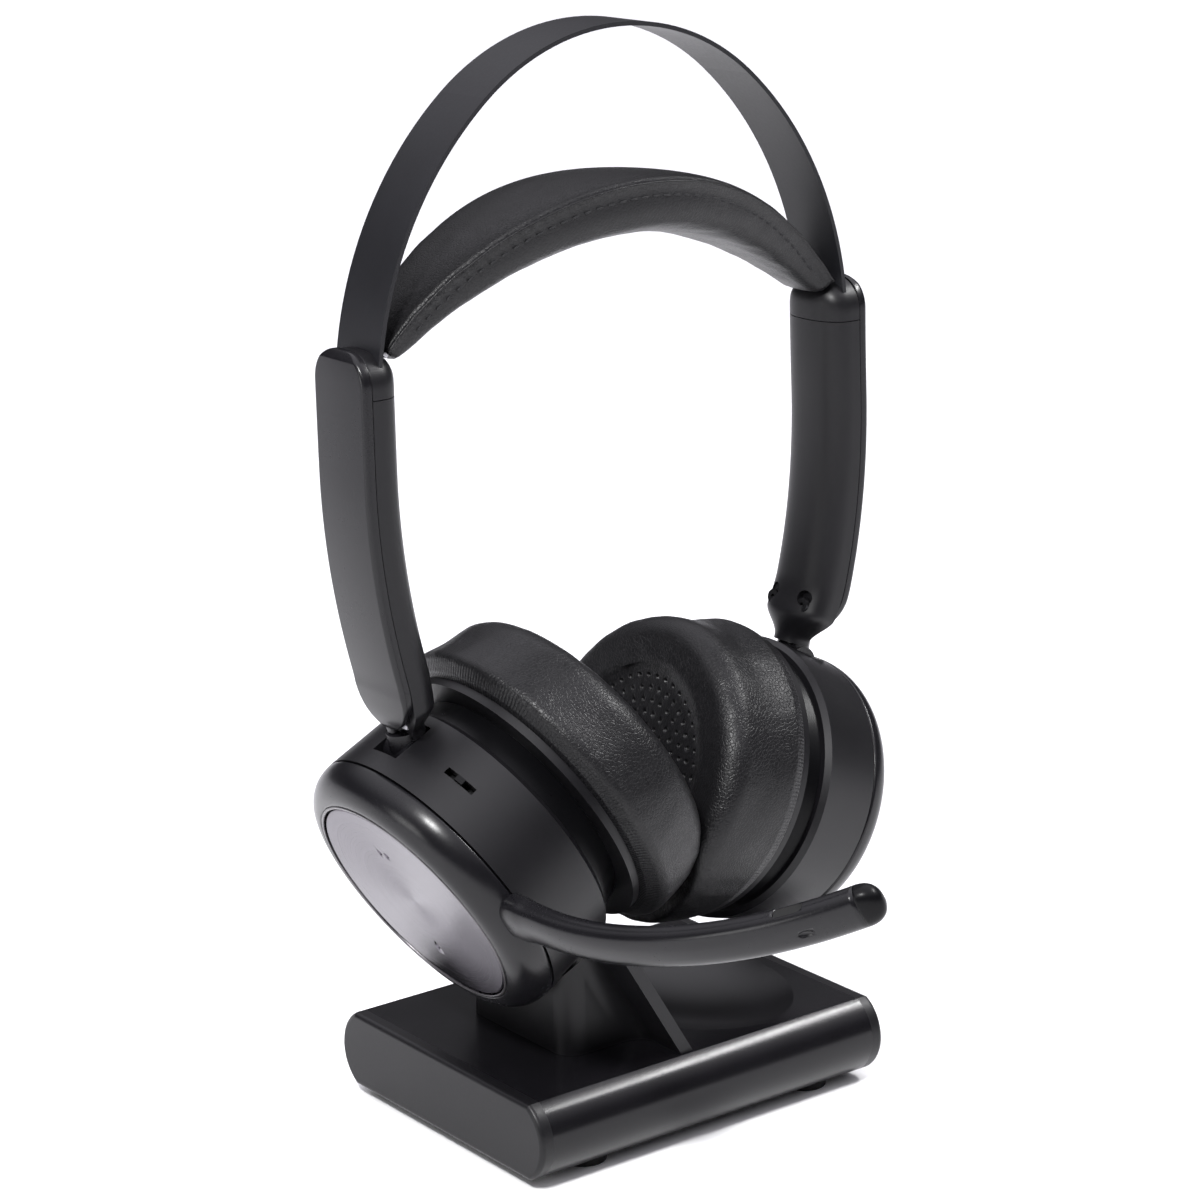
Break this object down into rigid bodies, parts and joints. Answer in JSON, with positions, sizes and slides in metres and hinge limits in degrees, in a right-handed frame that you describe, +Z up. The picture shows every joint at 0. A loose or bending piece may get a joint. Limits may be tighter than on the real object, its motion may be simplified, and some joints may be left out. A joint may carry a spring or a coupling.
{
  "type": "office headset",
  "caption": "Wireless on-ear office headset with turning microphone boom, padded and sprung head bands, resting on a desktop charging stand.",
  "frame": {"origin": "on the desk plane, under the middle of the charging stand", "axes": "+Z up, +X from the left ear cup to the right one, -Y the way the boom points"},
  "size_m": [0.1454, 0.1675, 0.2558],
  "materials": {
    "matte_black": "fine matte moulding",
    "satin_black": "satin",
    "gloss_black": "gloss",
    "leatherette": "soft grained leatherette",
    "spun_metal": "dark spun",
    "bezel_metal": "dark satin",
    "band_steel": "satin paint",
    "steel": "plain",
    "black_screw": "blackened",
    "gold": "plated",
    "board": "circuit board",
    "battery_wrap": "cell wrap",
    "rubber_black": "matte"
  },
  "bodies": {
    "stand": {"base_left_shell": "satin_black", "base_right_shell": "satin_black", "base_left_end_cap": "matte_black", "base_right_end_cap": "matte_black", "base_bottom_plate": "matte_black", "base_screws": "steel", "base_feet": "rubber_black", "ballast_plate": "steel", "stand_board": "board", "stand_inlet": "steel", "stand_post": "matte_black", "stand_charge_pins": "gold"},
    "left_slider": {"left_slider": "steel"},
    "frame": {"outer_band": "band_steel", "inner_band_pad": "leatherette", "inner_band_strip": "steel", "left_arm_body": "matte_black", "left_arm_plate": "satin_black", "left_arm_cap": "matte_black", "left_arm_screws": "black_screw", "right_arm_body": "matte_black", "right_arm_plate": "satin_black", "right_arm_cap": "matte_black", "right_arm_screws": "black_screw"},
    "left_neck": {"left_neck": "satin_black"},
    "left_cup": {"left_ear_pad": "leatherette", "left_cup_housing": "matte_black", "left_pad_plate": "matte_black", "left_cup_waist": "gloss_black", "left_speaker": "steel", "left_cup_board": "board", "left_battery": "battery_wrap", "left_tilt_bracket": "matte_black", "left_tilt_pin": "steel", "left_cup_hub": "matte_black"},
    "boom": {"boom_ring": "satin_black", "left_bezel": "bezel_metal", "boom_arm": "satin_black", "boom_tip": "gloss_black", "mic_capsule": "rubber_black"},
    "left_disc": {"left_outer_disc": "spun_metal"},
    "left_switch": {"left_switch": "matte_black"},
    "right_slider": {"right_slider": "steel"},
    "right_neck": {"right_neck": "satin_black"},
    "right_cup": {"right_ear_pad": "leatherette", "right_cup_housing": "matte_black", "right_pad_plate": "matte_black", "right_cup_waist": "gloss_black", "right_speaker": "steel", "right_cup_board": "board", "right_battery": "battery_wrap", "right_tilt_bracket": "matte_black", "right_tilt_pin": "steel", "right_cup_hub": "matte_black", "right_ring": "satin_black", "right_bezel": "bezel_metal"},
    "right_disc": {"right_outer_disc": "spun_metal"},
    "right_switch": {"right_switch": "matte_black"}
  },
  "joints": [
    {"name": "headset_lift", "type": "slide", "parent": "stand", "child": "left_cup", "axis": [0, 0, 1], "range_m": [0, 0.12]},
    {"name": "left_size_adjust", "type": "slide", "parent": "left_slider", "child": "frame", "axis": [0, 0, 1], "range_m": [0, 0.014]},
    {"name": "right_size_adjust", "type": "slide", "parent": "frame", "child": "right_slider", "axis": [0, 0, -1], "range_m": [0, 0.014]},
    {"name": "left_swivel", "type": "hinge", "parent": "left_neck", "child": "left_slider", "pos_m": [-0.0565, 0, 0.0963], "axis": [-0.2181, 0, 0.9759], "range_deg": [-3, 3]},
    {"name": "left_tilt", "type": "hinge", "parent": "left_cup", "child": "left_neck", "pos_m": [-0.0565, 0, 0.0963], "axis": [0, -1, 0], "range_deg": [0, 22]},
    {"name": "boom_turn", "type": "hinge", "parent": "left_cup", "child": "boom", "pos_m": [-0.0527, 0, 0.06276], "axis": [-0.8607, 0, -0.509], "range_deg": [-35, 60]},
    {"name": "left_disc_press", "type": "slide", "parent": "left_cup", "child": "left_disc", "axis": [0.8607, 0, 0.509], "range_m": [0, 0.0008], "stiffness_N_per_m": 1500},
    {"name": "left_switch_slide", "type": "slide", "parent": "left_cup", "child": "left_switch", "axis": [-0.2817, 0.8329, 0.4763], "range_m": [-0.0018, 0.0018]},
    {"name": "right_swivel", "type": "hinge", "parent": "right_slider", "child": "right_neck", "pos_m": [0.0565, 0, 0.0963], "axis": [0.2181, 0, 0.9759], "range_deg": [-3, 3]},
    {"name": "right_tilt", "type": "hinge", "parent": "right_neck", "child": "right_cup", "pos_m": [0.0565, 0, 0.0963], "axis": [0, -1, 0], "range_deg": [0, 18]},
    {"name": "right_disc_press", "type": "slide", "parent": "right_cup", "child": "right_disc", "axis": [-0.9285, 0, 0.3714], "range_m": [0, 0.0008], "stiffness_N_per_m": 1500},
    {"name": "right_switch_slide", "type": "slide", "parent": "right_cup", "child": "right_switch", "axis": [0.2055, -0.8329, 0.5138], "range_m": [-0.0018, 0.0018]}
  ],
  "couplings": [
    {"joint": "right_size_adjust", "follows": "left_size_adjust", "ratio": 1}
  ]
}
